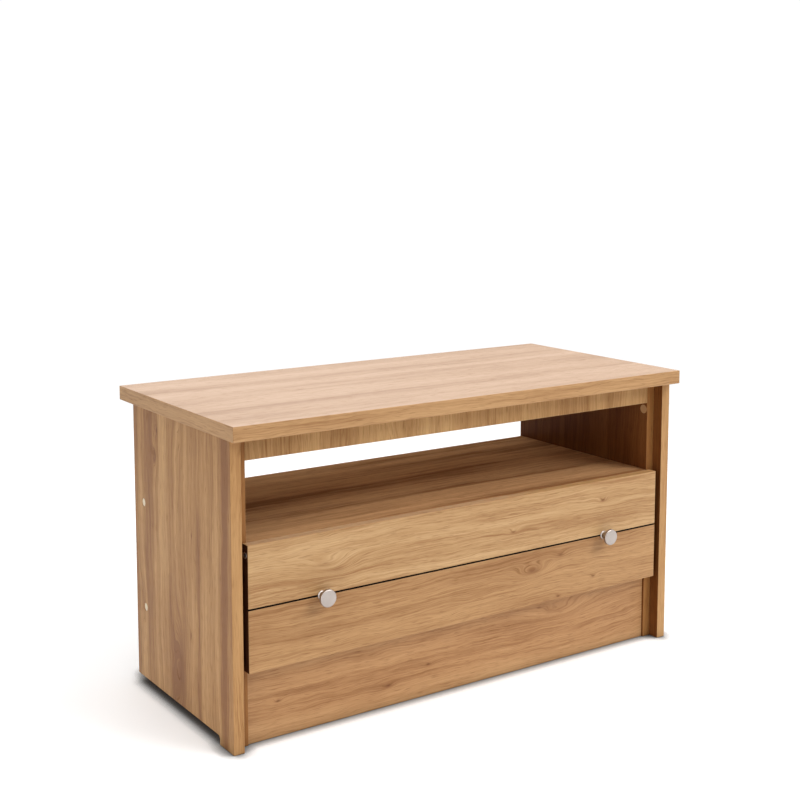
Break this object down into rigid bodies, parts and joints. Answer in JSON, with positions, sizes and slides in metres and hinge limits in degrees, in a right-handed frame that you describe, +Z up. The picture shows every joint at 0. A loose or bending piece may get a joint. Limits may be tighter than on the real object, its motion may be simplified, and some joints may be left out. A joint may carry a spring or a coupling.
{
  "type": "television stand",
  "caption": "Low oak-decor television stand: an open bay above a compartment closed by a grooved drop-down door with round knobs.",
  "frame": {"origin": "on the floor, under the middle of the top panel", "axes": "+X along the length, the front faces -Y, +Z up"},
  "size_m": [0.8, 0.372, 0.446],
  "materials": {
    "top_oak": "matt wood-grain decor",
    "door_oak": "matt wood-grain decor",
    "rail_oak": "matt wood-grain decor",
    "board_oak": "matt wood-grain decor",
    "side_oak": "matt wood-grain decor",
    "inner_side_oak": "matt wood-grain decor",
    "back_board": "printed hardboard",
    "satin_nickel": "satin nickel plate",
    "beech_dowel": "raw beech",
    "cast_zinc": "cast zinc",
    "magnet": "plated magnet",
    "cream_plastic": "moulded",
    "oak_plastic": "moulded",
    "plated_steel": "zinc plate"
  },
  "bodies": {
    "carcass": {"back_board": "back_board", "back_board_nails": "plated_steel", "cam_bolts": "plated_steel", "cam_housings": "cast_zinc", "compartment_floor": "board_oak", "floor_dowels": "beech_dowel", "front_rail": "rail_oak", "hinge_carcass_screws": "plated_steel", "inner_screw_caps": "oak_plastic", "left_catch_magnet": "magnet", "left_hinge_carcass_leaf": "plated_steel", "left_hinge_pin": "plated_steel", "left_inner_side": "inner_side_oak", "left_outer_side": "side_oak", "left_stay_slot_pin": "plated_steel", "outer_screw_caps": "cream_plastic", "plinth": "board_oak", "plinth_dowels": "beech_dowel", "rail_dowels": "beech_dowel", "right_catch_magnet": "magnet", "right_hinge_carcass_leaf": "plated_steel", "right_hinge_pin": "plated_steel", "right_inner_side": "inner_side_oak", "right_outer_side": "side_oak", "right_stay_slot_pin": "plated_steel", "shelf": "board_oak", "shelf_dowels": "beech_dowel", "side_screws": "plated_steel", "top_dowels": "beech_dowel", "top_panel": "top_oak"},
    "door": {"drop_door": "door_oak", "hinge_door_screws": "plated_steel", "knob_screws": "plated_steel", "left_catch_strike": "plated_steel", "left_edge_bush": "satin_nickel", "left_hinge_door_leaf": "plated_steel", "left_knob": "satin_nickel", "left_stay_bracket": "plated_steel", "left_stay_rivet": "plated_steel", "right_catch_strike": "plated_steel", "right_edge_bush": "satin_nickel", "right_hinge_door_leaf": "plated_steel", "right_knob": "satin_nickel", "right_stay_bracket": "plated_steel", "right_stay_rivet": "plated_steel", "stay_bracket_screws": "plated_steel"},
    "left_stay": {"left_stay_arm": "plated_steel"},
    "right_stay": {"right_stay_arm": "plated_steel"}
  },
  "joints": [
    {"name": "door_drop", "type": "hinge", "parent": "carcass", "child": "door", "pos_m": [0, -0.1505, 0.1034], "axis": [1, 0, 0], "range_deg": [0, 90]},
    {"name": "left_stay_turn", "type": "hinge", "parent": "door", "child": "left_stay", "pos_m": [-0.3575, -0.142, 0.2034], "axis": [1, 0, 0], "range_deg": [-45.5, 0.5]},
    {"name": "right_stay_turn", "type": "hinge", "parent": "door", "child": "right_stay", "pos_m": [0.3575, -0.142, 0.2034], "axis": [1, 0, 0], "range_deg": [-45.5, 0.5]}
  ],
  "couplings": [
    {"joint": "left_stay_turn", "follows": "door_drop", "ratio": -0.5},
    {"joint": "right_stay_turn", "follows": "door_drop", "ratio": -0.5}
  ]
}
